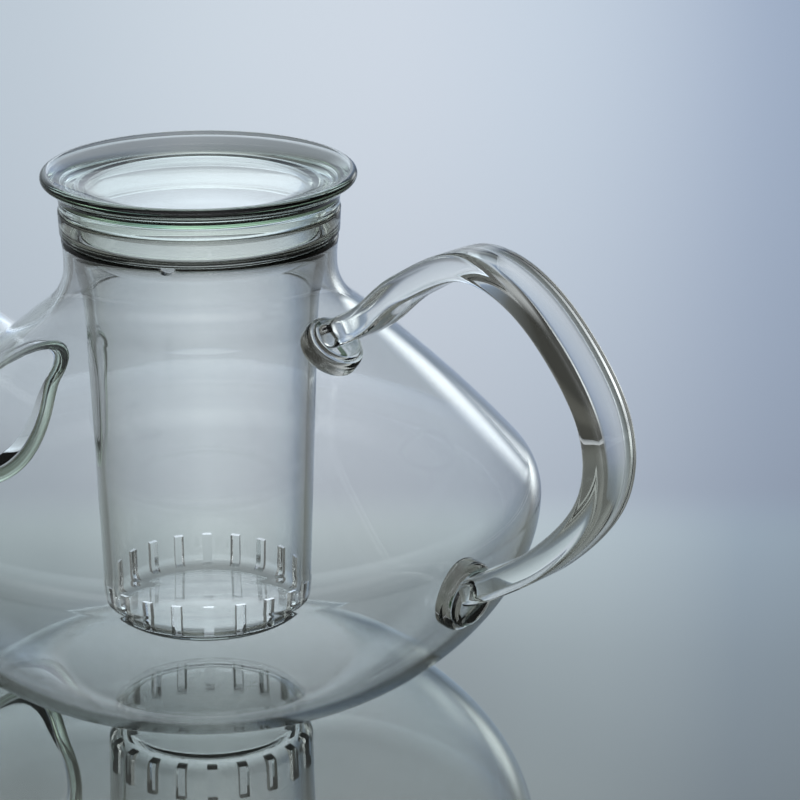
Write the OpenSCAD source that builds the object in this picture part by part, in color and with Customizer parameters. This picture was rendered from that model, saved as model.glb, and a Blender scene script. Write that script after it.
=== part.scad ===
// Glass teapot with a lift-out glass infuser and a dished glass lid.
// Origin: on the table, on the axis of the pot. The handle points along +X and the spout
// along -X. Every piece is clear heat-proof glass; pieces of one body are fused in the flame.

/* [Pot body] */
// Radius of the bulb at its widest place
bulb_r = 82.1; // [80:0.1:84]
// Height of the widest place above the table
bulb_z = 47; // [45:0.5:49]
// Radius of the flat base
base_r = 35; // [30:0.5:38]
// Pull of the lower curve outwards along the table
base_pull = 18; // [12:0.5:22]
// Pull of the lower curve downwards from the widest place
side_pull = 23; // [18:0.5:26]
// Radius of the turn from the side to the shoulder
turn_r = 12; // [9:0.5:14]
// Angle of that turn
turn_angle = 41.5; // [40:0.5:43]
// Radius of the long curve of the shoulder
shoulder_r = 330; // [280:5:400]
// Radius of the hollow between shoulder and neck
hollow_r = 14; // [10:0.5:16]
// Radius of the neck at its waist
neck_r = 32.6; // [32.5:0.1:32.8]
// Radius of the neck at its rim
rim_r = 33; // [32.9:0.1:33.2]
// Height of the neck's rim
rim_z = 112.35; // [112:0.05:112.35]
// Wall of the pot
wall = 2.2; // [1.8:0.1:2.2]
// Radius of the small vent notch in the rim
notch_r = 2; // [1.5:0.1:2.5]
// Depth of the notch
notch_depth = 1.5; // [1:0.1:2]
// Direction of the notch
notch_turn = -59; // [-180:1:180]

/* [Spout] */
// Height of the middle of the spout's root
spout_root_z = 51; // [48:0.5:54]
// Outside radius of the spout at its root
spout_root_r = 20.5; // [18:0.5:21]
// Outside radius of the spout at its lip
spout_tip_r = 7.5; // [6:0.1:9]
// Distance of the lip's middle from the pot's axis
spout_reach = 135; // [128:1:146]
// Height of the lip's middle
spout_tip_z = 112; // [104:1:116]
// Wall of the spout
spout_wall = 2.2; // [1.8:0.1:2.4]
// Radius of the fused bead around the root
seam_r = 1.5; // [1:0.1:1.8]

/* [Handle] */
// Width of the flat strap
strap_w = 13; // [11:0.5:15]
// Thickness of the flat strap
strap_t = 6.6; // [5.6:0.2:7.4]
// Radius of the strap's long edges
strap_edge_r = 2.6; // [1.5:0.1:2.7]
// Radius of the upper foot
upper_foot_r = 7.4; // [6.5:0.1:8]
// Radius of the lower foot
lower_foot_r = 8.4; // [7:0.1:9]
// How far a foot stands out of the wall
foot_out = 4.6; // [4:0.1:5]

/* [Infuser] */
// Height of the infuser's underside above the table
infuser_z = 14.6; // [12:0.2:18]
// Outside radius of the tube above its rounded corner
tube_low_r = 25.4; // [24.5:0.1:26]
// Outside radius of the tube below its flare
tube_high_r = 27.9; // [27.5:0.1:28.2]
// Height where the flare begins
flare_z = 94; // [90:0.5:96]
// Radius of the tube's lower corner
corner_r = 5; // [4:0.2:6]
// Wall of the tube
tube_wall = 2; // [1.6:0.1:2.2]
// Outside radius of the tube's top, which fits into the neck
plug_r = 30.1; // [29.8:0.1:30.1]
// Height where that fit begins
plug_z = 109.4; // [108.6:0.1:110]
// Outside radius of the collar that rests on the neck's rim
collar_r = 33.6; // [33.2:0.1:34]
// Height of the collar's rim
collar_z = 119.2; // [118.8:0.1:119.2]
// Number of slits
slit_n = 20; // [12:1:24]
// Width of a slit
slit_w = 2.4; // [1.2:0.2:2.8]
// Height of a slit
slit_h = 8; // [6:0.5:10]

/* [Lid] */
// Radius of the lid
lid_r = 37.5; // [37:0.1:39]
// Radius of the bead along the lid's edge
lid_bead_r = 1.3; // [1:0.05:1.5]
// Height of the lid's sunk floor
lid_floor_z = 124; // [123.8:0.1:124.4]
// Height of the middle of the edge bead
lid_edge_z = 126.4; // [126:0.1:127]
// Thickness of the lid's floor
lid_t = 2; // [1.6:0.1:2.2]
// Outside radius of the lid's skirt
skirt_r = 29; // [28.8:0.1:29.2]
// Wall of the skirt
skirt_wall = 1.8; // [1.6:0.1:2]
// Height of the skirt's lower edge
skirt_z = 113.2; // [113.1:0.1:114]

/* [Hidden] */
gap = 0.25;                 // clearance between loose pieces that rest on each other
clear_glass = [0.84, 0.90, 0.87, 0.45];
thick_glass = [0.55, 0.66, 0.55, 0.7];
over = 1;                   // overshoot of cutting tools
round_n = 96;               // a true circle in the rebuilt solids
tube_top_z = rim_z + gap;   // top of the tube, where the collar is fused on
seat_z = collar_z + gap;    // underside of the lid's seat

// The strap's middle line, [distance from the pot's axis, height], from the upper foot
// over the top to the lower foot.
strap_path = [[43.2, 95.8], [55, 102.5], [67, 112.5], [85.5, 121], [104, 114],
              [120.5, 94], [121.5, 75], [107.5, 57.5], [84.5, 42.7]];
upper_foot_at = [41.5, 91.5];    // where the upper foot meets the wall
lower_foot_at = [81.5, 41.5];    // where the lower foot meets the wall

function unit(v) = v / norm(v);
function bezier(a, b, c, d, t) =
    pow(1 - t, 3) * a + 3 * pow(1 - t, 2) * t * b + 3 * (1 - t) * t * t * c + pow(t, 3) * d;
// Point on a smooth curve through b and c, with a before them and d after them
function through(a, b, c, d, t) =
    (2 * b + (c - a) * t + (2 * a - 5 * b + 4 * c - d) * t * t
     + (3 * b - a - 3 * c + d) * t * t * t) / 2;
function arc(x, y, r, a, b, n) = [for (i = [0 : n]) [x, y] + r * [cos(a + (b - a) * i / n),
                                                                 sin(a + (b - a) * i / n)]];
// Direction of travel at point i of a line
function along(p, i) = unit(p[min(i + 1, len(p) - 1)] - p[max(i - 1, 0)]);
// The same line moved d to the left of its travel
function moved(p, d) = [for (i = [0 : len(p) - 1]) let (t = along(p, i)) p[i] + d * [-t[1], t[0]]];
function flipped(p) = [for (i = [len(p) - 1 : -1 : 0]) p[i]];

// Centre of the shoulder's long curve, the angle where it ends, and the height of the waist
turn_end = [bulb_r - turn_r, bulb_z] + turn_r * [cos(turn_angle), sin(turn_angle)];
shoulder_mid = turn_end - shoulder_r * [cos(turn_angle), sin(turn_angle)];
shoulder_end = acos((neck_r + hollow_r - shoulder_mid[0]) / (shoulder_r + hollow_r));
waist_z = shoulder_mid[1] + (shoulder_r + hollow_r) * sin(shoulder_end);

// Outline of the pot's outside, from the edge of the flat base up to the rim
function pot_outside() = concat(
    [for (i = [0 : 15]) bezier([base_r, 0], [base_r + base_pull, 0],
                               [bulb_r, bulb_z - side_pull], [bulb_r, bulb_z], i / 16)],
    arc(bulb_r - turn_r, bulb_z, turn_r, 0, turn_angle, 7),
    [for (i = [1 : 8]) let (a = turn_angle + (shoulder_end - turn_angle) * i / 8)
        shoulder_mid + shoulder_r * [cos(a), sin(a)]],
    [for (i = [1 : 7]) let (a = shoulder_end * (1 - i / 7))
        [neck_r + hollow_r, waist_z] - hollow_r * [cos(a), sin(a)]],
    [for (i = [1 : 4]) let (k = i / 4)
        [neck_r + (rim_r - neck_r) * k * k, waist_z + (rim_z - wall / 2 - waist_z) * k]]);
pot_line = pot_outside();
radius_table = [for (p = pot_line) [p[1], p[0]]];
function pot_radius(z) = lookup(z, radius_table);
// Slope of the wall, as the unit vector that points straight out of it
function wall_out(z) = let (d = pot_radius(z + 1) - pot_radius(z - 1)) unit([2, -d]);

// The pot's outside as one full solid, which the fused pieces are cut to
module pot_full() {
    rotate_extrude($fn = round_n) polygon(concat([[0, 0]], pot_line, [[0, rim_z - wall / 2]]));
}

module pot_body() {
    inside = moved(pot_line, wall);
    rim = arc(rim_r - wall / 2, rim_z - wall / 2, wall / 2, 30, 150, 4);
    color(clear_glass) difference() {
        rotate_extrude($fn = round_n)
            polygon(concat([[0, 0]], pot_line, rim, flipped(inside), [[0, wall]]));
        translate([-bulb_r - over, 0, spout_root_z]) rotate([0, 90, 0])
            cylinder(r = spout_root_r - spout_wall, h = bulb_r / 2, $fn = round_n);
        rotate([0, 0, notch_turn]) translate([neck_r - 2 * wall, 0, rim_z + notch_r - notch_depth])
            rotate([0, 90, 0]) cylinder(r = notch_r, h = 4 * wall, $fn = 32);
    }
}

// Rings of points joined into a closed skin, with the first and last ring filled
module skin(rings) {
    n = len(rings[0]);
    m = len(rings);
    polyhedron(
        points = [for (r = rings) each r],
        faces = concat(
            [[for (j = [n - 1 : -1 : 0]) j]],
            [for (i = [0 : m - 2]) for (j = [0 : n - 1]) let (k = (j + 1) % n)
                each [[i * n + j, i * n + k, (i + 1) * n + k],
                      [i * n + j, (i + 1) * n + k, (i + 1) * n + j]]],
            [[for (j = [0 : n - 1]) (m - 1) * n + j]]));
}

// Middle line and radius of the spout, from inside the bulb to the lip. It stays as wide as
// its root as far as the bulb's wall, at spout_wide of its length.
spout_n = 24;
spout_wide = 0.17;
function spout_mid(t) = bezier([60, spout_root_z], [94, spout_root_z],
                               [spout_reach - 31, spout_tip_z - 34], [spout_reach, spout_tip_z], t);
function spout_radius(t) = let (k = max(0, t - spout_wide) / (1 - spout_wide))
    spout_tip_r + (spout_root_r - spout_tip_r) * pow(max(0, 1 - pow(k, 1.2)), 1.7);
function spout_ring(t, r, n) =
    let (d = unit(spout_mid(t + 0.01) - spout_mid(t - 0.01)), c = spout_mid(t))
    [for (j = [0 : n - 1]) let (a = 360 * j / n)
        [-(c[0] - d[1] * r * cos(a)), r * sin(a), c[1] + d[0] * r * cos(a)]];

module spout_tube(inset, t_end) {
    skin([for (i = [0 : spout_n]) let (t = t_end * i / spout_n)
        flipped(spout_ring(t, spout_radius(t) - inset, 28))]);
}

module spout() {
    color(clear_glass) difference() {
        spout_tube(0, 1);
        spout_tube(spout_wall, 1.05);
        pot_full();
    }
}

// The bead of fused glass around the spout's root, along the line where it meets the bulb
module spout_seam() {
    turns = 44;
    sides = 8;
    function seam_mid(a) = let (y = spout_root_r * sin(a), z = spout_root_z + spout_root_r * cos(a),
                                r = pot_radius(z)) [-sqrt(r * r - y * y), y, z];
    function seam_ring(i) = let (a = 360 * i / turns, c = seam_mid(a),
                                 d = unit(seam_mid(a + 2) - seam_mid(a - 2)),
                                 u = unit([c[0], c[1], 0]), v = unit(cross(d, u)), w = cross(v, d))
        [for (j = [0 : sides - 1]) c + seam_r * (v * cos(360 * j / sides) + w * sin(360 * j / sides))];
    rings = [for (i = [0 : turns - 1]) seam_ring(i)];
    color(thick_glass) polyhedron(
        points = [for (r = rings) each r],
        faces = [for (i = [0 : turns - 1]) for (j = [0 : sides - 1])
            let (k = (j + 1) % sides, a = i * sides, b = ((i + 1) % turns) * sides)
            each [[a + j, b + j, b + k], [a + j, b + k, a + k]]]);
}

// The strap's middle line as a smooth curve with a step every sixth of a span
strap_steps = 6;
function strap_line() =
    let (n = len(strap_path),
         p = concat([2 * strap_path[0] - strap_path[1]], strap_path,
                    [2 * strap_path[n - 1] - strap_path[n - 2]]))
    concat([for (i = [0 : n - 2]) for (k = [0 : strap_steps - 1])
                through(p[i], p[i + 1], p[i + 2], p[i + 3], k / strap_steps)],
           [strap_path[n - 1]]);
// Outline across the strap: width along the first axis, thickness along the second
function strap_section() =
    let (x = strap_w / 2 - strap_edge_r, y = strap_t / 2 - strap_edge_r)
    concat(arc(x, y, strap_edge_r, 0, 90, 4), arc(-x, y, strap_edge_r, 90, 180, 4),
           arc(-x, -y, strap_edge_r, 180, 270, 4), arc(x, -y, strap_edge_r, 270, 360, 4));

module handle() {
    line = strap_line();
    last = len(line) - 1;
    section = strap_section();
    color(clear_glass) skin([for (i = [0 : last])
        let (t = along(line, i), c = line[i], end = (i == 0 || i == last) ? 0.75 : 1)
        [for (s = section) [c[0] - t[1] * s[1] * end, s[0] * end, c[1] + t[0] * s[1] * end]]]);
}

// A round foot with soft edges, standing straight out of the wall at [radius, height]
module foot(at, r, step) {
    out = wall_out(at[1]);
    edge = 1.6;
    color(clear_glass) difference() {
        translate([at[0], 0, at[1]]) rotate([0, acos(out[1]), 0]) rotate_extrude($fn = round_n)
            polygon(concat([[0, -4], [r, -4]], arc(r - edge, foot_out - step - edge, edge, 0, 90, 4),
                           arc(r - edge - step, foot_out - edge, edge, 30, 90, 4), [[0, foot_out]]));
        pot_full();
    }
}

module handle_upper_foot() {
    foot(upper_foot_at, upper_foot_r, 0.9);
}

module handle_lower_foot() {
    foot(lower_foot_at, lower_foot_r, 1.5);
}

// Outline of the infuser's outside, from the edge of its flat floor up to the collar
function tube_outside() = concat(
    arc(tube_low_r - corner_r, infuser_z + corner_r, corner_r, -90, 0, 8),
    [for (i = [0 : 6]) let (k = i / 6)
        [tube_high_r + (plug_r - tube_high_r) * (1 - cos(180 * k)) / 2,
         flare_z + (plug_z - flare_z) * k]],
    [[plug_r, tube_top_z]]);

module infuser_tube() {
    line = tube_outside();
    inside = moved(line, tube_wall);
    top = len(inside) - 1;
    color(clear_glass) difference() {
        rotate_extrude($fn = round_n) polygon(concat([[0, infuser_z]], line,
            [[collar_in(), tube_top_z]], [for (i = [top - 1 : -1 : 0]) inside[i]],
            [[0, infuser_z + tube_wall]]));
        for (i = [0 : slit_n - 1]) rotate([0, 0, 360 * (i + 0.5) / slit_n])
            translate([tube_low_r - corner_r + 0.6, -slit_w / 2, infuser_z + corner_r - 2.4])
                cube([corner_r + tube_wall, slit_w, slit_h]);
    }
}

// Inside radius of the collar where it is fused to the tube
function collar_in() = plug_r - tube_wall + 1.1;

// The wide collar on top of the tube: its underside rests on the neck's rim
module infuser_collar() {
    thick = 2.1;
    soft = 0.8;
    color(thick_glass) rotate_extrude($fn = round_n) polygon(concat(
        [[collar_in(), tube_top_z]],
        arc(collar_r - 0.2 - soft, tube_top_z + soft, soft, -90, 0, 4),
        arc(collar_r - thick / 2, collar_z - thick / 2, thick / 2, 0, 180, 8),
        [for (i = [0 : 5]) let (a = 90 * i / 5)
            [collar_r - thick - 2.2 * (1 - cos(a)), tube_top_z + 2.6 - 2.4 * sin(a)]]));
}

module lid_dish() {
    seat_out = collar_r - 0.3;
    seat_in = seat_out - 2.7;
    floor_r = 24;
    color(clear_glass) rotate_extrude($fn = round_n) polygon(concat(
        [[0, lid_floor_z - lid_t], [seat_in - 1.2, lid_floor_z - lid_t],
         [seat_in - 0.3, lid_floor_z - lid_t - 0.6], [seat_in, seat_z], [seat_out, seat_z]],
        [for (i = [1 : 7]) bezier([seat_out, seat_z], [seat_out + 0.2, seat_z + 3.2],
            [lid_r - 3.4, lid_edge_z - 3.2], [lid_r - 0.9, lid_edge_z - lid_bead_r + 0.35], i / 7)],
        arc(lid_r - lid_bead_r, lid_edge_z, lid_bead_r, -40, 110, 8),
        [for (i = [1 : 8]) let (k = i / 8, r = lid_r - 2.6 - (lid_r - 2.6 - floor_r) * k)
            [r, lid_floor_z + (lid_edge_z + 0.7 - lid_floor_z) * pow(1 - k, 1.6)]],
        [[0, lid_floor_z]]));
}

module lid_skirt() {
    edge = 0.7;
    inner_r = skirt_r - skirt_wall;
    color(clear_glass) rotate_extrude($fn = round_n) polygon(concat(
        [[skirt_r, lid_floor_z - lid_t], [inner_r, lid_floor_z - lid_t]],
        arc(inner_r + edge, skirt_z + edge, edge, 180, 270, 3),
        arc(skirt_r - edge, skirt_z + edge, edge, 270, 360, 3)));
}

pot_body();
spout();
spout_seam();
handle();
handle_upper_foot();
handle_lower_foot();
infuser_tube();
infuser_collar();
lid_dish();
lid_skirt();
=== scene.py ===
import bpy
import math
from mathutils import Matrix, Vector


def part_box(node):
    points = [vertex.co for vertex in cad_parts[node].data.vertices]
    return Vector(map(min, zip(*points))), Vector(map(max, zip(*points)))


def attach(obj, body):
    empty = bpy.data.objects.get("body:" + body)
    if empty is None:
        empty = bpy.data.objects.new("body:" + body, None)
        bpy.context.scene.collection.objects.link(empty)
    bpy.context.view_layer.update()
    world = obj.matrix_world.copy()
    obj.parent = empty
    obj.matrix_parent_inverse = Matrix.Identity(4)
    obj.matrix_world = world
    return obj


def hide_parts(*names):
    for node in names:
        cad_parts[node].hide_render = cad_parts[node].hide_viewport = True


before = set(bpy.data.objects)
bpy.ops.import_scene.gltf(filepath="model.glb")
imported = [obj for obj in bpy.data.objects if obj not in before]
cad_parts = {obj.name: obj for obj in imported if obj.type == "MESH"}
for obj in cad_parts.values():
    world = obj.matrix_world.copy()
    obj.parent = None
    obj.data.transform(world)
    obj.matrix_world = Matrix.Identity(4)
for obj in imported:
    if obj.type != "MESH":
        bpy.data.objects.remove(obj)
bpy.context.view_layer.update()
mm = 0.001


def millimetres(node):
    low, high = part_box(node)
    return [c / mm for c in low], [c / mm for c in high]


# curves are lists of (distance from the axis, height), in millimetres

def arc(x, y, r, start, end, steps):
    turns = [math.radians(start + (end - start) * i / steps) for i in range(steps + 1)]
    return [(x + r * math.cos(t), y + r * math.sin(t)) for t in turns]


def bezier(a, b, c, d, t):
    u = 1 - t
    weights = (u * u * u, 3 * u * u * t, 3 * u * t * t, t * t * t)
    return tuple(sum(w * p[i] for w, p in zip(weights, (a, b, c, d))) for i in (0, 1))


def offsetLine(line, d):
    # the same line moved d to the left of its travel
    moved = []
    for i, p in enumerate(line):
        a, b = line[max(i - 1, 0)], line[min(i + 1, len(line) - 1)]
        run = math.hypot(b[0] - a[0], b[1] - a[1])
        moved.append((p[0] - d * (b[1] - a[1]) / run, p[1] + d * (b[0] - a[0]) / run))
    return moved


def nothingSelected():
    if bpy.context.object and bpy.context.object.mode != "OBJECT":
        bpy.ops.object.mode_set(mode="OBJECT")
    bpy.ops.object.select_all(action="DESELECT")


def only(piece):
    nothingSelected()
    piece.select_set(True)
    bpy.context.view_layer.objects.active = piece


def editAll(piece):
    only(piece)
    bpy.ops.object.mode_set(mode="EDIT")
    bpy.ops.mesh.select_mode(type="VERT")
    bpy.ops.mesh.select_all(action="SELECT")


def picked(piece, kind, test):
    # selects the points or faces that the test takes, in edit mode
    only(piece)
    bpy.ops.object.mode_set(mode="EDIT")
    bpy.ops.mesh.select_mode(type=kind)
    bpy.ops.mesh.select_all(action="DESELECT")
    bpy.ops.object.mode_set(mode="OBJECT")
    for part in piece.data.vertices if kind == "VERT" else piece.data.polygons:
        part.select = test(part)
    bpy.ops.object.mode_set(mode="EDIT")


def closeUp(piece, merge=0.0005):
    # merges doubles, turns every face outwards, and leaves edit mode
    editAll(piece)
    bpy.ops.mesh.remove_doubles(threshold=merge * mm)
    bpy.ops.mesh.normals_make_consistent(inside=False)
    bpy.ops.object.mode_set(mode="OBJECT")


def turned(name, outline, steps=192):
    # an outline drawn point by point from one vertex, then spun round the Z axis
    nothingSelected()
    x, z = outline[0]
    bpy.ops.mesh.primitive_plane_add(size=mm, location=(x * mm, 0, z * mm))
    piece = bpy.context.object
    piece.name = name
    bpy.ops.object.transform_apply(location=True, rotation=True, scale=True)
    editAll(piece)
    bpy.ops.mesh.merge(type="CENTER")
    for a, b in zip(outline, outline[1:]):
        step = ((b[0] - a[0]) * mm, 0, (b[1] - a[1]) * mm)
        bpy.ops.mesh.extrude_vertices_move(TRANSFORM_OT_translate={"value": step})
    bpy.ops.mesh.select_all(action="SELECT")
    bpy.ops.mesh.spin(steps=steps, angle=2 * math.pi, center=(0, 0, 0), axis=(0, 0, 1))
    closeUp(piece)
    return piece


def cutAway(piece, cutter, operation="DIFFERENCE"):
    # faces that the cutter leaves carry the cutter's material
    only(piece)
    step = piece.modifiers.new("cut", "BOOLEAN")
    step.object = cutter
    step.operation = operation
    step.solver = "EXACT"
    step.material_mode = "TRANSFER"
    bpy.ops.object.modifier_apply(modifier=step.name)
    bpy.data.objects.remove(cutter)


def copyOf(piece, material=None):
    # a copy, all in one material if one is given
    only(piece)
    bpy.ops.object.duplicate(linked=False)
    copy = bpy.context.object
    if material:
        allIn(copy, material)
    return copy


def allIn(piece, material):
    piece.data.materials.clear()
    piece.data.materials.append(material)
    for face in piece.data.polygons:
        face.material_index = 0


def sweepOn(stations):
    # carries the selected end loop or end face through stations of (x, z, turn, size)
    x, z, turn, size = stations[0]
    for nx, nz, nturn, nsize in stations[1:]:
        move = ((nx - x) * mm, 0, (nz - z) * mm)
        centre = (nx * mm, 0, nz * mm)
        bpy.ops.mesh.extrude_region_move(TRANSFORM_OT_translate={"value": move})
        # a positive turn lifts the travel from +X towards +Z
        bpy.ops.transform.rotate(value=nturn - turn, orient_axis="Y", center_override=centre)
        ratio = nsize / size
        bpy.ops.transform.resize(value=(ratio, ratio, ratio), center_override=centre)
        x, z, turn, size = nx, nz, nturn, nsize


def finished(piece, body, node, material, angle=38):
    only(piece)
    bpy.ops.object.shade_smooth_by_angle(angle=math.radians(angle))
    # fused faces keep the piece's own glass, so light leaves it again, but show no skin
    slots = piece.data.materials
    marks = [1.0 if slots and slots[f.material_index] == weld else 0.0 for f in piece.data.polygons]
    fused = piece.data.attributes.new("fused", "FLOAT", "FACE")
    fused.data.foreach_set("value", marks)
    allIn(piece, material)
    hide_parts(node)
    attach(piece, body)
    print("made", piece.name, len(piece.data.polygons), "faces")


# node helpers: each adds to a tree what it is named for, and gives its output

def fed(tree, socket, value):
    # a number or colour is set on the socket, and an output is linked to it
    if isinstance(value, (int, float)):
        socket.default_value = value
    elif isinstance(value, tuple):
        socket.default_value = value if len(value) == len(socket.default_value) else (*value, 1)
    else:
        tree.links.new(value, socket)


def joined(tree, kind, first, second=None, third=None):
    step = tree.nodes.new("ShaderNodeMath")
    step.operation = kind
    for socket, value in zip(step.inputs, (first, second, third)):
        if value is not None:
            fed(tree, socket, value)
    return step.outputs[0]


def vectors(tree, kind, first, second=None, out="Vector"):
    step = tree.nodes.new("ShaderNodeVectorMath")
    step.operation = kind
    fed(tree, step.inputs[0], first)
    if second is not None:
        fed(tree, step.inputs[1], second)
    return step.outputs[out]


def noise(tree, place, scale, detail, distortion=0.0):
    step = tree.nodes.new("ShaderNodeTexNoise")
    step.inputs["Scale"].default_value = scale
    step.inputs["Detail"].default_value = detail
    step.inputs["Distortion"].default_value = distortion
    tree.links.new(place, step.inputs["Vector"])
    return step.outputs["Fac"]


def spread(tree, value, low, high, toLow=0.0, toHigh=1.0, kind="LINEAR"):
    step = tree.nodes.new("ShaderNodeMapRange")
    step.interpolation_type = kind
    for name, part in (("Value", value), ("From Min", low), ("From Max", high),
                       ("To Min", toLow), ("To Max", toHigh)):
        fed(tree, step.inputs[name], part)
    return step.outputs["Result"]


def fade(tree, value, start, end):
    # rises softly from 0 at start to 1 at end
    return spread(tree, value, start, end, kind="SMOOTHSTEP")


def ramp(tree, value, stops, low, high):
    # colours or shares at stops between low and high
    scale = tree.nodes.new("ShaderNodeValToRGB")
    while len(scale.color_ramp.elements) < len(stops):
        scale.color_ramp.elements.new(0.5)
    for i, (at, _) in enumerate(stops):
        scale.color_ramp.elements[i].position = (at - low) / (high - low)
    for stop, (_, tone) in zip(scale.color_ramp.elements, stops):
        stop.color = (*tone, 1) if isinstance(tone, tuple) else (tone, tone, tone, 1)
    tree.links.new(spread(tree, value, low, high), scale.inputs["Fac"])
    return scale.outputs["Color"]


def blended(tree, share, first, second, kind="MIX"):
    mix = tree.nodes.new("ShaderNodeMix")
    mix.data_type = "RGBA"
    mix.blend_type = kind
    for name, part in (("Factor", share), ("A", first), ("B", second)):
        # one name stands for a float, a vector and a colour socket
        wanted = "VALUE" if name == "Factor" else "RGBA"
        fed(tree, next(c for c in mix.inputs if c.name == name and c.type == wanted), part)
    return next(c for c in mix.outputs if c.type == "RGBA")


def newMaterial(name):
    material = bpy.data.materials.new(name)
    material.use_nodes = True
    return material, material.node_tree, material.node_tree.nodes["Principled BSDF"]


def newGroup(name, vectorInputs, numberInputs, output):
    # gives the group, its inputs by name, and the socket that its result goes to
    group = bpy.data.node_groups.new(name, "ShaderNodeTree")
    for kind, names in (("NodeSocketVector", vectorInputs), ("NodeSocketFloat", numberInputs)):
        for each in names:
            group.interface.new_socket(each, in_out="INPUT", socket_type=kind)
    group.interface.new_socket(output, in_out="OUTPUT", socket_type="NodeSocketFloat")
    source = group.nodes.new("NodeGroupInput")
    return group, source.outputs, group.nodes.new("NodeGroupOutput").inputs[output]


ripple = {"waveScale": 38, "lineScale": 260, "lineSqueeze": (1, 1, 0.12)}
smudge = {"scale": 55, "low": 0.45, "high": 0.8, "swirl": 1.4}
fusedSide = 24  # how far behind its centre a round fused patch still reaches, in millimetres


def buildDiscGroup():
    # 1 inside a round patch: near an axis through Centre, between two radii and on its side
    group, given, mask = newGroup("roundPatch", ("Place", "Centre", "Axis"),
                                  ("Inner", "Outer"), "Mask")
    away = vectors(group, "SUBTRACT", given["Place"], given["Centre"])
    across = vectors(group, "CROSS_PRODUCT", away, given["Axis"])
    apart = vectors(group, "LENGTH", across, out="Value")
    height = vectors(group, "DOT_PRODUCT", away, given["Axis"], out="Value")
    ring = joined(group, "MULTIPLY", joined(group, "LESS_THAN", apart, given["Outer"]),
                  joined(group, "GREATER_THAN", apart, given["Inner"]))
    near = joined(group, "GREATER_THAN", height, -fusedSide * mm)
    group.links.new(joined(group, "MULTIPLY", ring, near), mask)
    return group


def buildRippleGroup():
    # slow waves that drawn and blown glass keeps, with finer draw lines along its height
    group, given, height = newGroup("glassRipple", ("Place",), ("Waves", "Lines"), "Height")
    wave = noise(group, given["Place"], ripple["waveScale"], 1)
    drawn = vectors(group, "MULTIPLY", given["Place"], ripple["lineSqueeze"])
    line = noise(group, drawn, ripple["lineScale"], 2)
    waves = joined(group, "MULTIPLY", wave, given["Waves"])
    group.links.new(joined(group, "MULTIPLY_ADD", line, given["Lines"], waves), height)
    return group


def buildSmudgeGroup():
    # faint wiped patches and specks, as roughness
    group, given, roughness = newGroup("wipedSurface", ("Place",), ("Polish", "Haze"), "Roughness")
    patch = noise(group, given["Place"], smudge["scale"], 4, smudge["swirl"])
    group.links.new(spread(group, patch, smudge["low"], smudge["high"],
                           given["Polish"], given["Haze"]), roughness)
    return group


discGroup = buildDiscGroup()
rippleGroup = buildRippleGroup()
smudgeGroup = buildSmudgeGroup()


def placed(tree, group, **values):
    # one of the shared groups, with its own values
    node = tree.nodes.new("ShaderNodeGroup")
    node.node_tree = group
    for name, value in values.items():
        fed(tree, node.inputs[name], value)
    return node.outputs[0]


def attribute(tree, name):
    node = tree.nodes.new("ShaderNodeAttribute")
    node.attribute_name = name
    return node.outputs["Fac"]


def glass(name, tint, depthColour, depth, lines, strength, haze=0.03):
    material, tree, surface = newMaterial(name)
    surface.inputs["Base Color"].default_value = (*tint, 1)
    surface.inputs["Transmission Weight"].default_value = 1
    surface.inputs["IOR"].default_value = 1.473
    place = tree.nodes.new("ShaderNodeTexCoord").outputs["Object"]
    bump = tree.nodes.new("ShaderNodeBump")
    bump.inputs["Strength"].default_value = strength
    bump.inputs["Distance"].default_value = mm
    tree.links.new(placed(tree, rippleGroup, Place=place, Waves=1.0, Lines=lines),
                   bump.inputs["Height"])
    tree.links.new(bump.outputs["Normal"], surface.inputs["Normal"])
    tree.links.new(placed(tree, smudgeGroup, Place=place, Polish=0.0, Haze=haze),
                   surface.inputs["Roughness"])
    tree.links.new(joined(tree, "SUBTRACT", 1, attribute(tree, "fused")), surface.inputs["Alpha"])
    inside = tree.nodes.new("ShaderNodeVolumeAbsorption")
    inside.inputs["Color"].default_value = (*depthColour, 1)
    inside.inputs["Density"].default_value = depth
    tree.links.new(inside.outputs["Volume"], tree.nodes["Material Output"].inputs["Volume"])
    return material


# tint, colour in the depth of the glass and how strong, draw lines, strength of the ripple
clear = (1.0, 1.0, 1.0)
green = (0.30, 0.86, 0.62)
bodyGlass = glass("bodyGlass", clear, green, 5, 0.04, 0.04)
potGlass = glass("potGlass", clear, green, 5, 0.04, 0.04)
handleGlass = glass("handleGlass", (0.992, 0.995, 0.992), (0.6, 0.72, 0.55), 6, 0.1, 0.04)
infuserGlass = glass("infuserGlass", clear, green, 5, 0.08, 0.11)
lidGlass = glass("lidGlass", (0.992, 1.0, 0.99), (0.45, 0.80, 0.45), 16, 0.0, 0.05)
seamGlass = glass("seamGlass", (0.98, 0.99, 0.97), (0.4, 0.62, 0.3), 160, 0.0, 0.06)
collarGlass = glass("collarGlass", (0.985, 0.99, 0.96), (0.66, 0.72, 0.25), 24, 0.0, 0.04)

# these two only mark faces while the pieces are made: fused ones, and ones to take out
weld = bpy.data.materials.new("weld")
cutMark = bpy.data.materials.new("cutMark")


def fusedPatches(material, patches):
    # hides the outer skin where another piece is fused on: (centre, axis, inner, outer)
    tree = material.node_tree
    place = tree.nodes["Texture Coordinate"].outputs["Object"]
    skin = attribute(tree, "outerSkin")
    total = 0
    for centre, axis, inner, outer in patches:
        mask = placed(tree, discGroup, Place=place, Centre=tuple(c * mm for c in centre),
                      Axis=axis, Inner=inner * mm, Outer=outer * mm)
        total = joined(tree, "MULTIPLY_ADD", mask, skin, total)
    alpha = tree.nodes["Principled BSDF"].inputs["Alpha"]
    tree.links.new(joined(tree, "SUBTRACT", 1, total), alpha)


# the pot body: bulb, neck and base in one wall

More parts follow.
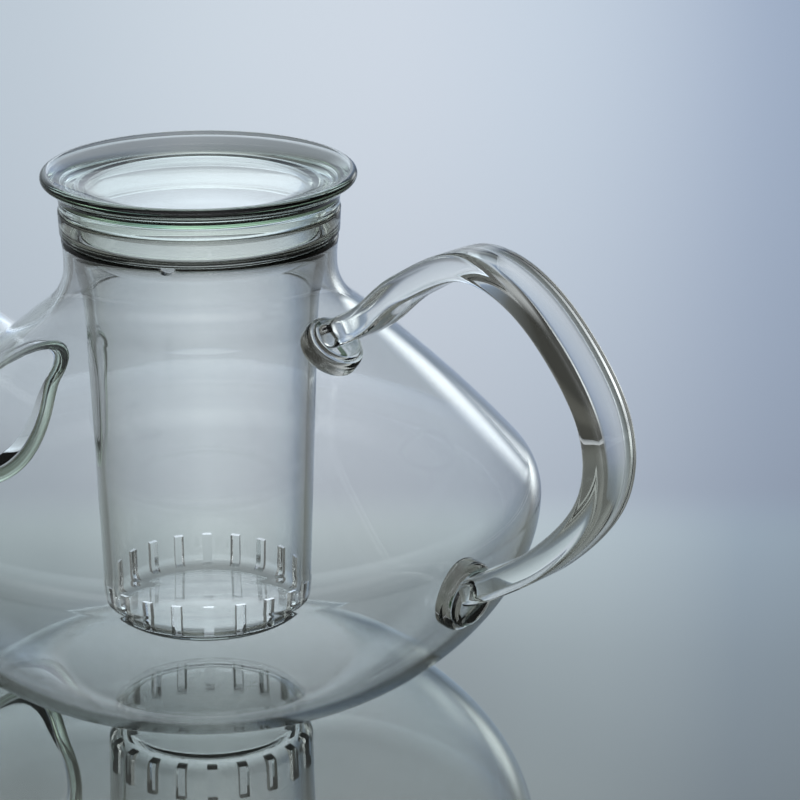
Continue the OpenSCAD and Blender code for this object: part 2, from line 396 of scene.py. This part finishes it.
potHigh = millimetres("pot_body")[1]
bulb = {
    "widest": potHigh[1],
    "widestZ": 47,
    "base": 35,
    "basePull": 18,
    "sidePull": 23,
    "turnR": 12,
    "turnAngle": 41.5,
    "shoulderR": 330,
    "hollowR": 14,
    "neck": 32.6,
    "rim": 33,
    "rimZ": potHigh[2],
    "wall": 2.2,
    "spoutHole": 18.3,
    "spoutZ": 51,
    "notchR": 2,
    "notchDepth": 1.5,
    "notchTurn": -59,
    "lowSteps": 40,
    "turnSteps": 14,
    "shoulderSteps": 20,
    "hollowSteps": 12,
    "neckSteps": 6,
    "rimSteps": 8,
    "spoutSides": 96,
    "notchSides": 48,
}


def potOutside(v):
    # from the edge of the flat base up to the rim
    widest, mid = v["widest"], v["widestZ"]
    line = [bezier((v["base"], 0), (v["base"] + v["basePull"], 0), (widest, mid - v["sidePull"]),
                   (widest, mid), i / v["lowSteps"]) for i in range(v["lowSteps"])]
    line += arc(widest - v["turnR"], mid, v["turnR"], 0, v["turnAngle"], v["turnSteps"])
    turn = math.radians(v["turnAngle"])
    sx = line[-1][0] - v["shoulderR"] * math.cos(turn)
    sz = line[-1][1] - v["shoulderR"] * math.sin(turn)
    between = v["shoulderR"] + v["hollowR"]
    end = math.acos((v["neck"] + v["hollowR"] - sx) / between)
    endTurn = math.degrees(end)
    line += arc(sx, sz, v["shoulderR"], v["turnAngle"], endTurn, v["shoulderSteps"])[1:]
    waist = sz + between * math.sin(end)
    line += arc(v["neck"] + v["hollowR"], waist, v["hollowR"], 180 + endTurn, 180,
                v["hollowSteps"])[1:]
    top = v["rimZ"] - v["wall"] / 2
    for i in range(1, v["neckSteps"] + 1):
        k = i / v["neckSteps"]
        line.append((v["neck"] + (v["rim"] - v["neck"]) * k * k, waist + (top - waist) * k))
    return line


def makePotBody():
    v = bulb
    outside = potOutside(v)
    inside = offsetLine(outside, v["wall"])
    half = v["wall"] / 2
    rim = arc(v["rim"] - half, v["rimZ"] - half, half, 15, 165, v["rimSteps"])
    piece = turned("potBody", [(0, 0)] + outside + rim + inside[::-1] + [(0, v["wall"])])
    nothingSelected()
    # the spout's hole: a cylinder from halfway out to 1 mm past the wall
    bpy.ops.mesh.primitive_cylinder_add(vertices=v["spoutSides"], radius=v["spoutHole"] * mm,
                                        depth=v["widest"] / 2 * mm,
                                        location=(-(v["widest"] * 0.75 + 1) * mm, 0,
                                                  v["spoutZ"] * mm),
                                        rotation=(0, math.pi / 2, 0))
    cutAway(piece, bpy.context.object)
    nothingSelected()
    turn = math.radians(v["notchTurn"])
    z = v["rimZ"] + v["notchR"] - v["notchDepth"]
    bpy.ops.mesh.primitive_cylinder_add(vertices=v["notchSides"], radius=v["notchR"] * mm,
                                        depth=4 * v["wall"] * mm,
                                        location=(v["neck"] * math.cos(turn) * mm,
                                                  v["neck"] * math.sin(turn) * mm, z * mm),
                                        rotation=(0, math.pi / 2, turn))
    cutAway(piece, bpy.context.object)
    marks = [1.0 if f.center.x * f.normal.x + f.center.y * f.normal.y > 0 else 0.0
             for f in piece.data.polygons]
    skin = piece.data.attributes.new("outerSkin", "FLOAT", "FACE")
    skin.data.foreach_set("value", marks)
    finished(piece, "pot", "pot_body", potGlass)


def potFull(name):
    # the pot's outside as one full solid, to cut the fused pieces to
    outside = potOutside(bulb)
    return turned(name, [(0, 0)] + outside + [(0, outside[-1][1])])


makePotBody()

# the spout, and the bead round its root

spoutShape = {
    "rootR": 20.5,
    "tipR": 7.5,
    "reach": 135,
    "tipZ": 112,
    "rootZ": 51,
    "wall": 2.2,
    "wideUntil": 0.17,
    "rings": 48,
    "sides": 64,
}


def spoutMiddle(v, t):
    return bezier((60, v["rootZ"]), (94, v["rootZ"]), (v["reach"] - 31, v["tipZ"] - 34),
                  (v["reach"], v["tipZ"]), t)


def spoutRadius(v, t):
    k = max(0, t - v["wideUntil"]) / (1 - v["wideUntil"])
    return v["tipR"] + (v["rootR"] - v["tipR"]) * max(0, 1 - k ** 1.2) ** 1.7


def makeSpout():
    v = spoutShape
    stations = []
    for i in range(v["rings"] + 1):
        t = i / v["rings"]
        x, z = spoutMiddle(v, t)
        a, b = spoutMiddle(v, t - 0.01), spoutMiddle(v, t + 0.01)
        rise = math.atan2(b[1] - a[1], b[0] - a[0])
        stations.append((-x, z, -rise, spoutRadius(v, t)))
    x, z, turn, size = stations[0]
    nothingSelected()
    bpy.ops.mesh.primitive_circle_add(vertices=v["sides"], radius=size * mm, fill_type="NOTHING",
                                      location=(x * mm, 0, z * mm), rotation=(0, -math.pi / 2, 0))
    piece = bpy.context.object
    piece.name = "spoutTube"
    bpy.ops.object.transform_apply(location=True, rotation=True, scale=True)
    editAll(piece)
    sweepOn(stations)
    closeUp(piece)
    only(piece)
    wall = piece.modifiers.new("wall", "SOLIDIFY")
    wall.thickness = v["wall"] * mm
    wall.offset = -1
    wall.use_even_offset = True
    bpy.ops.object.modifier_apply(modifier=wall.name)
    piece.data.materials.append(bodyGlass)
    cutter = potFull("potCutter")
    cutter.data.materials.append(weld)
    cutAway(piece, cutter)
    finished(piece, "pot", "spout", bodyGlass)


makeSpout()


def potRadius(z):
    line = potOutside(bulb)
    for a, b in zip(line, line[1:]):
        if a[1] <= z <= b[1]:
            return a[0] + (b[0] - a[0]) * (z - a[1]) / max(b[1] - a[1], 1e-9)
    return line[-1][0]


seam = {"thick": 1.5, "around": 96, "across": 14}


def makeSeam():
    # a ring laid round the root, each part of it carried along X to where the bulb's wall is
    v = spoutShape
    nothingSelected()
    bpy.ops.mesh.primitive_torus_add(major_segments=seam["around"], minor_segments=seam["across"],
                                     major_radius=v["rootR"] * mm, minor_radius=seam["thick"] * mm,
                                     location=(0, 0, v["rootZ"] * mm), rotation=(0, math.pi / 2, 0))
    piece = bpy.context.object
    piece.name = "spoutSeam"
    bpy.ops.object.transform_apply(location=True, rotation=True, scale=True)
    part = 2 * math.pi / seam["around"]
    for i in range(seam["around"]):
        turn = i * part
        y, z = v["rootR"] * math.sin(turn), v["rootZ"] + v["rootR"] * math.cos(turn)
        picked(piece, "VERT", lambda p: abs(math.remainder(
            math.atan2(p.co.y, p.co.z - v["rootZ"] * mm) - turn, 2 * math.pi)) < part / 2)
        shift = -math.sqrt(potRadius(z) ** 2 - y * y) * mm
        bpy.ops.transform.translate(value=(shift, 0, 0))
        bpy.ops.object.mode_set(mode="OBJECT")
    closeUp(piece)
    finished(piece, "pot", "spout_seam", seamGlass, 80)


makeSeam()

# the handle's strap and its two feet

strap = {
    "wide": 13,
    "thick": 6.6,
    "edge": 1.9,
    "path": [(43.2, 95.8), (55, 102.5), (67, 112.5), (85.5, 121), (104, 114), (120.5, 94),
             (121.5, 75), (107.5, 57.5), (84.5, 42.7)],
    "steps": 12,
    "endSize": 0.75,
}
feet = {
    "upper": {"at": (41.5, 91.5), "radius": 7.4, "step": 0.9},
    "lower": {"at": (81.5, 41.5), "radius": 8.4, "step": 1.5},
    "out": 4.6,
    "sunk": 1.1,
    "edge": 1.6,
}


def through(a, b, c, d, t):
    # a smooth curve from b to c, with a before them and d after them
    return tuple((2 * q + (r - p) * t + (2 * p - 5 * q + 4 * r - s) * t * t
                  + (3 * q - p - 3 * r + s) * t ** 3) / 2 for p, q, r, s in zip(a, b, c, d))


def strapStations():
    path = strap["path"]
    before = tuple(2 * a - b for a, b in zip(path[0], path[1]))
    after = tuple(2 * a - b for a, b in zip(path[-1], path[-2]))
    ends = [before] + path + [after]
    line = [through(*ends[i:i + 4], k / strap["steps"])
            for i in range(len(path) - 1) for k in range(strap["steps"])] + [path[-1]]
    stations, turn = [], None
    for i, (x, z) in enumerate(line):
        a, b = line[max(i - 1, 0)], line[min(i + 1, len(line) - 1)]
        rise = math.atan2(b[1] - a[1], b[0] - a[0])
        turn = rise if turn is None else turn + math.remainder(rise - turn, 2 * math.pi)
        fromEnd = min(i, len(line) - 1 - i)
        size = 1 - (1 - strap["endSize"]) * max(0, 1 - fromEnd / 3) ** 2
        stations.append((x, z, turn, size))
    return stations


def footSlope(z):
    return math.atan2(2, -(potRadius(z + 1) - potRadius(z - 1)))


def makeStrap():
    stations = strapStations()
    x, z, turn, size = stations[0]
    nothingSelected()
    bpy.ops.mesh.primitive_plane_add(size=1, location=(0, 0, 0))
    piece = bpy.context.object
    piece.name = "handleStrap"
    piece.scale = (strap["thick"] * mm, strap["wide"] * mm, 1)
    bpy.ops.object.transform_apply(location=False, rotation=False, scale=True)
    editAll(piece)
    bpy.ops.mesh.bevel(offset=strap["edge"] * mm, segments=7, affect="VERTICES")
    bpy.ops.object.mode_set(mode="OBJECT")
    piece.scale = (size, size, 1)
    piece.rotation_euler = (0, math.pi / 2 - turn, 0)
    piece.location = (x * mm, 0, z * mm)
    bpy.ops.object.transform_apply(location=True, rotation=True, scale=True)
    editAll(piece)
    bpy.ops.mesh.select_mode(type="FACE")
    bpy.ops.mesh.select_all(action="SELECT")
    sweepOn(stations)
    closeUp(piece)
    piece.data.materials.append(handleGlass)
    return piece


def makeFoot(name, v):
    x, z = v["at"]
    slope = footSlope(z)
    r, out, edge, step = v["radius"], feet["out"], feet["edge"], v["step"]
    outline = [(0, -feet["sunk"]), (r, -feet["sunk"])]
    outline += arc(r - edge, out - step - edge, edge, 0, 90, 10)
    outline += arc(r - edge - step, out - edge, edge, 30, 90, 7)
    outline += [((r - edge - step) * (1 - k / 6), out) for k in range(1, 7)]
    piece = turned(name, outline, 96)
    only(piece)
    piece.rotation_euler = (0, slope, 0)
    piece.location = (x * mm, 0, z * mm)
    bpy.ops.object.transform_apply(location=True, rotation=True, scale=False)
    piece.data.materials.append(handleGlass)
    cutter = potFull("potCutter")
    cutter.data.materials.append(weld)
    cutAway(piece, cutter)
    return piece


def dropFaces(piece, material):
    place = piece.data.materials.find(material.name)
    picked(piece, "FACE", lambda face: face.material_index == place)
    bpy.ops.mesh.delete(type="FACE")
    bpy.ops.object.mode_set(mode="OBJECT")


def fuseFoot(piece, node, strapPiece):
    # the strap is trimmed to the foot; where it stands on the foot, the foot's skin is fused
    trim = copyOf(piece, weld)
    shared = copyOf(piece)
    cutAway(shared, copyOf(strapPiece, cutMark), "INTERSECT")
    cutAway(piece, copyOf(strapPiece, cutMark))
    cutAway(strapPiece, trim)
    dropFaces(shared, cutMark)
    dropFaces(piece, cutMark)
    allIn(shared, weld)
    only(piece)
    shared.select_set(True)
    bpy.ops.object.join()
    closeUp(piece, 0.002)
    finished(piece, "pot", node, handleGlass, 60)


handleStrap = makeStrap()
upperFoot = makeFoot("upperFoot", feet["upper"])
lowerFoot = makeFoot("lowerFoot", feet["lower"])
fuseFoot(upperFoot, "handle_upper_foot", handleStrap)
fuseFoot(lowerFoot, "handle_lower_foot", handleStrap)
finished(handleStrap, "pot", "handle", handleGlass, 60)


def footPatch(v):
    slope = footSlope(v["at"][1])
    return (v["at"][0], 0, v["at"][1]), (math.sin(slope), 0, math.cos(slope)), -1, v["radius"]


fusedPatches(potGlass, [footPatch(feet["upper"]), footPatch(feet["lower"]),
                          ((-60, 0, spoutShape["rootZ"]), (-1, 0, 0), bulb["spoutHole"],
                           spoutShape["rootR"])])

# the infuser: a tube with slits, and the collar fused on top of it

tubeLow, tubeHigh = millimetres("infuser_tube")
collarHigh = millimetres("infuser_collar")[1]
tube = {
    "bottom": tubeLow[2],
    "top": tubeHigh[2],
    "lowR": 25.4,
    "highR": 27.9,
    "flareZ": 94,
    "corner": 5,
    "wall": 2,
    "plugR": tubeHigh[0],
    "plugZ": 109.4,
    "slits": 20,
    "slitWide": 2.4,
    "slitTall": 8,
    "slitDeep": 7,
    "slitOut": 4.1,
    "slitDrop": 2.4,
}
collar = {
    "outerR": collarHigh[0],
    "top": collarHigh[2],
    "thick": 2.1,
    "soft": 0.8,
    "innerR": 29.2,
    "lean": 0.2,
    "hollowWide": 2.2,
    "hollowTop": 2.6,
    "hollowTall": 2.4,
}


def weldFaces(piece, test):
    # marks the faces that are fused to a neighbour
    if len(piece.data.materials) < 2:
        piece.data.materials.append(weld)
    for face in piece.data.polygons:
        if test(face.center / mm, face.normal):
            face.material_index = 1


def makeTube():
    v = tube
    low = arc(v["lowR"] - v["corner"], v["bottom"] + v["corner"], v["corner"], -90, 0, 16)
    side = [(v["lowR"] + (v["highR"] - v["lowR"]) * k / 24,
             low[-1][1] + (v["flareZ"] - low[-1][1]) * k / 24) for k in range(1, 24)]
    widen, rise = v["plugR"] - v["highR"], v["plugZ"] - v["flareZ"]
    flare = [(v["highR"] + widen * (1 - math.cos(math.pi * k / 14)) / 2,
              v["flareZ"] + rise * k / 14) for k in range(15)]
    outside = low + side + flare + [(v["plugR"], v["top"])]
    inside = offsetLine(outside, v["wall"])[:-1]
    outline = [(0, v["bottom"])] + outside + [(collar["innerR"], v["top"])] + inside[::-1]
    piece = turned("infuserTube", outline + [(0, v["bottom"] + v["wall"])])
    piece.data.materials.append(infuserGlass)
    top = v["top"]
    weldFaces(piece, lambda c, n: n.z > 0.9 and abs(c.z - top) < 0.05)
    nothingSelected()
    x = v["lowR"] - v["corner"] + v["slitOut"]
    z = v["bottom"] + v["corner"] - v["slitDrop"] + v["slitTall"] / 2
    bpy.ops.mesh.primitive_cube_add(size=1, location=(x * mm, 0, z * mm))
    slit = bpy.context.object
    slit.scale = (v["slitDeep"] * mm, v["slitWide"] * mm, v["slitTall"] * mm)
    bpy.ops.object.transform_apply(location=True, rotation=True, scale=True)
    share = 2 * math.pi / v["slits"]
    slit.rotation_euler = (0, 0, share / 2)
    bpy.ops.object.transform_apply(location=True, rotation=True, scale=True)
    editAll(slit)
    bpy.ops.mesh.spin(steps=v["slits"] - 1, angle=2 * math.pi - share, dupli=True,
                      center=(0, 0, 0), axis=(0, 0, 1))
    bpy.ops.object.mode_set(mode="OBJECT")
    cutAway(piece, slit)
    finished(piece, "infuser", "infuser_tube", infuserGlass)


def makeCollar():
    v = collar
    base = tube["top"]
    outline = [(v["innerR"], base), (tube["plugR"], base)]
    half = v["thick"] / 2
    outline += arc(v["outerR"] - v["lean"] - v["soft"], base + v["soft"], v["soft"], -90, 0, 8)
    outline += arc(v["outerR"] - half, v["top"] - half, half, 0, 180, 16)
    outline += [(v["outerR"] - v["thick"] - v["hollowWide"] * (1 - math.cos(a)),
                 base + v["hollowTop"] - v["hollowTall"] * math.sin(a))
                for a in (math.pi / 2 * k / 10 for k in range(11))]
    piece = turned("infuserCollar", outline + [outline[0]])
    piece.data.materials.append(collarGlass)
    weldFaces(piece, lambda c, n: n.z < -0.9 and math.hypot(c.x, c.y) < tube["plugR"]
              and c.z < base + 0.05)
    finished(piece, "infuser", "infuser_collar", collarGlass)


makeTube()
makeCollar()

# the lid: a dish, and the skirt fused under it

lidLow, lidHigh = millimetres("lid_dish")
skirtLow, skirtHigh = millimetres("lid_skirt")
lid = {
    "radius": lidHigh[0],
    "seatZ": lidLow[2],
    "seatOut": collar["outerR"] - 0.3,
    "seatWide": 2.7,
    "bead": 1.3,
    "floorR": 24,
    "floorZ": 124,
    "edgeZ": lidHigh[2] - 1.3,  # the middle of the bead
    "thick": 2,
    "skirtR": skirtHigh[0],
    "skirtWall": 1.8,
    "skirtEdge": 0.7,
    "skirtLow": skirtLow[2],
}


def makeDish():
    v = lid
    under = v["floorZ"] - v["thick"]
    seatIn = v["seatOut"] - v["seatWide"]
    outline = [(0, under), (v["skirtR"] - v["skirtWall"], under), (v["skirtR"], under),
               (seatIn - 1.2, under), (seatIn - 0.3, under - 0.6), (seatIn, v["seatZ"]),
               (v["seatOut"], v["seatZ"])]
    outline += [bezier((v["seatOut"], v["seatZ"]), (v["seatOut"] + 0.2, v["seatZ"] + 3.2),
                       (v["radius"] - 3.4, v["edgeZ"] - 3.2),
                       (v["radius"] - 0.9, v["edgeZ"] - v["bead"] + 0.35), k / 14)
                for k in range(1, 15)]
    outline += arc(v["radius"] - v["bead"], v["edgeZ"], v["bead"], -40, 110, 16)
    wide = v["radius"] - 2.6
    outline += [(wide - (wide - v["floorR"]) * k / 20,
                 v["floorZ"] + (v["edgeZ"] + 0.7 - v["floorZ"]) * (1 - k / 20) ** 1.6)
                for k in range(1, 21)]
    piece = turned("lidDish", outline + [(0, v["floorZ"])])
    piece.data.materials.append(lidGlass)
    weldFaces(piece, lambda c, n: n.z < -0.9 and abs(c.z - under) < 0.05
              and v["skirtR"] - v["skirtWall"] < math.hypot(c.x, c.y) < v["skirtR"])
    finished(piece, "lid", "lid_dish", lidGlass)


def makeSkirt():
    v = lid
    under = v["floorZ"] - v["thick"]
    inner, edge = v["skirtR"] - v["skirtWall"], v["skirtEdge"]
    outline = [(v["skirtR"], under), (inner, under)]
    outline += arc(inner + edge, v["skirtLow"] + edge, edge, 180, 270, 6)
    outline += arc(v["skirtR"] - edge, v["skirtLow"] + edge, edge, 270, 360, 6)
    piece = turned("lidSkirt", outline + [outline[0]])
    piece.data.materials.append(lidGlass)
    weldFaces(piece, lambda c, n: n.z > 0.9 and abs(c.z - under) < 0.05)
    finished(piece, "lid", "lid_skirt", lidGlass)


makeDish()
makeSkirt()

view = {
    "lens": 135,
    "place": (0.48692, -0.48692, 0.30915),
    "tilt": 70.779,
    "turn": 41.04,
}


def makeCamera():
    nothingSelected()
    bpy.ops.object.camera_add(location=view["place"],
                              rotation=(math.radians(view["tilt"]), 0, math.radians(view["turn"])))
    camera = bpy.context.object
    camera.data.lens = view["lens"]
    camera.data.sensor_width = 36
    camera.data.clip_start = 0.02
    camera.data.clip_end = 50
    bpy.context.scene.camera = camera


makeCamera()

# a polished table ends just behind the pot; past it lies a pale floor
stage = {
    "floorHalf": 3.0,
    "tableEdge": 0.105,
    "edgeSoft": 0.022,
    "tableReach": 1.0,
    "reachSoft": 0.12,
    "table": (0.378, 0.402, 0.38),
    "behind": (0.352, 0.358, 0.37),
    "pale": (0.40, 0.42, 0.44),
    "mirror": 0.82,
    "polish": 0.02,
    "farRough": 0.15,
    "paleRough": 0.5,
    "lampHeight": 1.8,
    "lampSize": 3,
    "lampPower": 80,
}
# the soft room: colour by turn from the straight view, in degrees, positive to the right
roomTones = [
    (-180, (0.88, 0.92, 0.95)), (-135, (0.52, 0.55, 0.57)), (-112, (0.14, 0.14, 0.14)),
    (-80, (0.10, 0.105, 0.10)), (-55, (0.12, 0.13, 0.135)), (-38, (0.18, 0.20, 0.215)),
    (-20, (0.39, 0.45, 0.49)), (-7.5, (0.505, 0.585, 0.66)), (-3.5, (0.62, 0.695, 0.77)),
    (0, (0.64, 0.705, 0.79)), (3.2, (0.565, 0.655, 0.76)), (5, (0.485, 0.57, 0.69)),
    (7.4, (0.30, 0.385, 0.53)), (14, (0.24, 0.30, 0.38)), (34, (0.13, 0.14, 0.14)),
    (60, (0.045, 0.045, 0.04)), (105, (0.045, 0.045, 0.04)), (140, (0.45, 0.47, 0.49)),
    (180, (0.88, 0.92, 0.95)),
]
# its share by height above the horizon, in degrees
roomHeights = [(-90, 0.9), (0, 1.0), (7, 1.2), (12, 1.92), (16.5, 1.94), (19.2, 1.86),
               (21.8, 1.64), (24, 1.2), (27, 0.82), (35, 0.85), (50, 0.8), (68, 0.8), (90, 0.8)]
ceiling = {"from": 50, "to": 74, "tone": (0.44, 0.46, 0.47)}
panel = {"turn": (15, 24, 27, 36), "height": (-1, 4, 8, 16), "glow": (1.9, 2.05, 2.1)}


turnOfView = math.radians(view["turn"])
ahead = (-math.sin(turnOfView), math.cos(turnOfView), 0)
aside = (math.cos(turnOfView), math.sin(turnOfView), 0)


def along(tree, place, direction):
    return vectors(tree, "DOT_PRODUCT", place, direction, out="Value")


def makeFloor():
    v = stage
    nothingSelected()
    bpy.ops.mesh.primitive_plane_add(size=2 * v["floorHalf"], location=(0, 0, -0.2 * mm))
    floor = bpy.context.object
    floor.name = "floor"
    material, tree, surface = newMaterial("floorTop")
    place = tree.nodes.new("ShaderNodeTexCoord").outputs["Object"]
    far = along(tree, place, ahead)
    side = joined(tree, "ABSOLUTE", along(tree, place, aside))
    past = fade(tree, far, v["tableEdge"] - v["edgeSoft"], v["tableEdge"] + v["edgeSoft"])
    wide = fade(tree, side, v["tableReach"], v["tableReach"] + v["reachSoft"])
    near = fade(tree, far, -v["tableReach"], -v["tableReach"] - v["reachSoft"])
    rest = joined(tree, "MAXIMUM", wide, near)
    tone = blended(tree, past, v["table"], v["behind"])
    tree.links.new(blended(tree, rest, tone, v["pale"]), surface.inputs["Base Color"])
    mirror = joined(tree, "MULTIPLY", joined(tree, "SUBTRACT", 1, rest), v["mirror"])
    tree.links.new(mirror, surface.inputs["Metallic"])
    rough = joined(tree, "MAXIMUM", joined(tree, "MULTIPLY", rest, v["paleRough"]),
                   joined(tree, "MULTIPLY", past, v["farRough"]))
    tree.links.new(joined(tree, "ADD", rough, v["polish"]), surface.inputs["Roughness"])
    floor.data.materials.append(material)
    print("made the floor")


def makeRoom():
    world = bpy.data.worlds.new("studio")
    bpy.context.scene.world = world
    world.use_nodes = True
    tree = world.node_tree
    place = tree.nodes.new("ShaderNodeTexCoord").outputs["Generated"]
    turn = joined(tree, "DEGREES", joined(tree, "ARCTAN2", along(tree, place, aside),
                                          along(tree, place, ahead)))
    height = joined(tree, "DEGREES", joined(tree, "ARCSINE", along(tree, place, (0, 0, 1))))
    room = blended(tree, 1, ramp(tree, turn, roomTones, -180, 180),
                   ramp(tree, height, roomHeights, -90, 90), "MULTIPLY")
    edges = []
    for value, (start, full, still, end) in ((turn, panel["turn"]), (height, panel["height"])):
        edges.append(joined(tree, "MULTIPLY", fade(tree, value, start, full),
                            fade(tree, value, end, still)))
    inPanel = joined(tree, "MULTIPLY", *edges)
    upward = fade(tree, height, ceiling["from"], ceiling["to"])
    walls = blended(tree, upward, room, ceiling["tone"])
    tree.links.new(blended(tree, inPanel, walls, panel["glow"]),
                   tree.nodes["Background"].inputs["Color"])
    print("made the room")


def makeLamp():
    # a wide soft lamp overhead for the matt floor; glass and table don't mirror it
    nothingSelected()
    bpy.ops.object.light_add(type="AREA", location=(0, 0, stage["lampHeight"]))
    lamp = bpy.context.object
    lamp.name = "softLamp"
    lamp.data.size = stage["lampSize"]
    lamp.data.energy = stage["lampPower"]
    lamp.visible_glossy = False
    lamp.visible_transmission = False
    lamp.visible_camera = False


makeFloor()
makeRoom()
makeLamp()

scene = bpy.context.scene
scene.view_settings.view_transform = "Standard"
scene.cycles.max_bounces = 32
scene.cycles.transmission_bounces = 32
scene.cycles.transparent_max_bounces = 24
